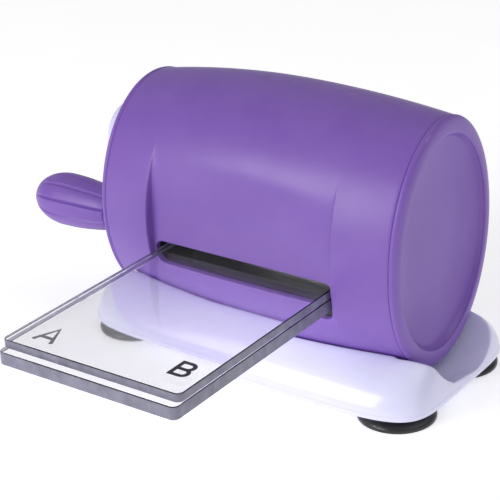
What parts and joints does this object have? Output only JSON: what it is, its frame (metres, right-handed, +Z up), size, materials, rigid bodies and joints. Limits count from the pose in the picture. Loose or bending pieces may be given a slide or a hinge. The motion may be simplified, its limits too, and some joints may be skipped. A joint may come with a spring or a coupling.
{
  "type": "die cutting machine",
  "caption": "Small hand-cranked die cutting machine: barrel housing with a feed slot, geared rollers, clear cutting plates and a base on suction feet.",
  "frame": {"origin": "centre of the bounding box on the table plane, with the plates at their rest place", "axes": "+X along the barrel from the crank to the closed end, +Y from the feed side to the back, +Z up"},
  "size_m": [0.196, 0.1668, 0.1102],
  "materials": {
    "purple_shell": "satin moulded purple plastic",
    "white_base": "glossy white plastic with a lavender tint",
    "black_rubber": "glossy black rubber",
    "clear_acrylic": "clear polished acrylic",
    "steel": "turned and pressed steel",
    "bronze": "sintered bronze",
    "grey_nylon": "natural nylon"
  },
  "bodies": {
    "housing": {"front_shell": "purple_shell", "rear_shell": "purple_shell", "right_end_ring": "purple_shell", "left_end_ring": "purple_shell", "right_cover": "purple_shell", "left_cover": "purple_shell", "base_shell": "white_base", "base_bottom": "white_base", "foot_fl": "black_rubber", "foot_fr": "black_rubber", "foot_bl": "black_rubber", "foot_br": "black_rubber", "foot_stud_fl": "steel", "foot_stud_fr": "steel", "foot_stud_bl": "steel", "foot_stud_br": "steel", "frame_screw_fl": "steel", "frame_screw_fr": "steel", "frame_screw_bl": "steel", "frame_screw_br": "steel", "side_frame_left": "steel", "side_frame_right": "steel", "tie_bar_lower_front": "steel", "tie_bar_lower_rear": "steel", "tie_bar_upper_front": "steel", "tie_bar_upper_rear": "steel", "platen_front": "grey_nylon", "platen_rear": "grey_nylon", "bush_upper_left": "bronze", "bush_upper_right": "bronze", "bush_lower_left": "bronze", "bush_lower_right": "bronze", "bush_crank_inner": "bronze", "bush_crank_outer": "bronze"},
    "upper_roller_set": {"upper_axle": "steel", "upper_roller": "steel", "drive_gear": "grey_nylon"},
    "lower_roller_set": {"lower_axle": "steel", "lower_roller": "steel"},
    "crank": {"crank_shaft": "steel", "pinion": "grey_nylon", "crank_arm": "white_base", "crank_cap": "white_base", "grip_pin": "steel"},
    "grip": {"grip": "purple_shell"},
    "plates": {"plate_lower": "clear_acrylic", "plate_upper": "clear_acrylic"}
  },
  "joints": [
    {"name": "plate_feed", "type": "slide", "parent": "housing", "child": "plates", "axis": [0, 1, 0], "range_m": [-0.02, 0.11]},
    {"name": "upper_roller_spin", "type": "hinge", "parent": "housing", "child": "upper_roller_set", "pos_m": [0.022, 0.0419, 0.0606], "axis": [1, 0, 0], "continuous": true},
    {"name": "lower_roller_spin", "type": "hinge", "parent": "housing", "child": "lower_roller_set", "pos_m": [0.022, 0.0419, 0.0275], "axis": [1, 0, 0], "continuous": true},
    {"name": "crank_turn", "type": "hinge", "parent": "housing", "child": "crank", "pos_m": [-0.054, 0.0419, 0.077], "axis": [1, 0, 0], "continuous": true},
    {"name": "grip_spin", "type": "hinge", "parent": "crank", "child": "grip", "pos_m": [-0.078, 0.0324, 0.0456], "axis": [1, 0, 0], "continuous": true}
  ],
  "couplings": [
    {"joint": "upper_roller_spin", "follows": "plate_feed", "rad_per_m": 83.333},
    {"joint": "lower_roller_spin", "follows": "plate_feed", "rad_per_m": -83.333},
    {"joint": "crank_turn", "follows": "plate_feed", "rad_per_m": -133.33}
  ]
}
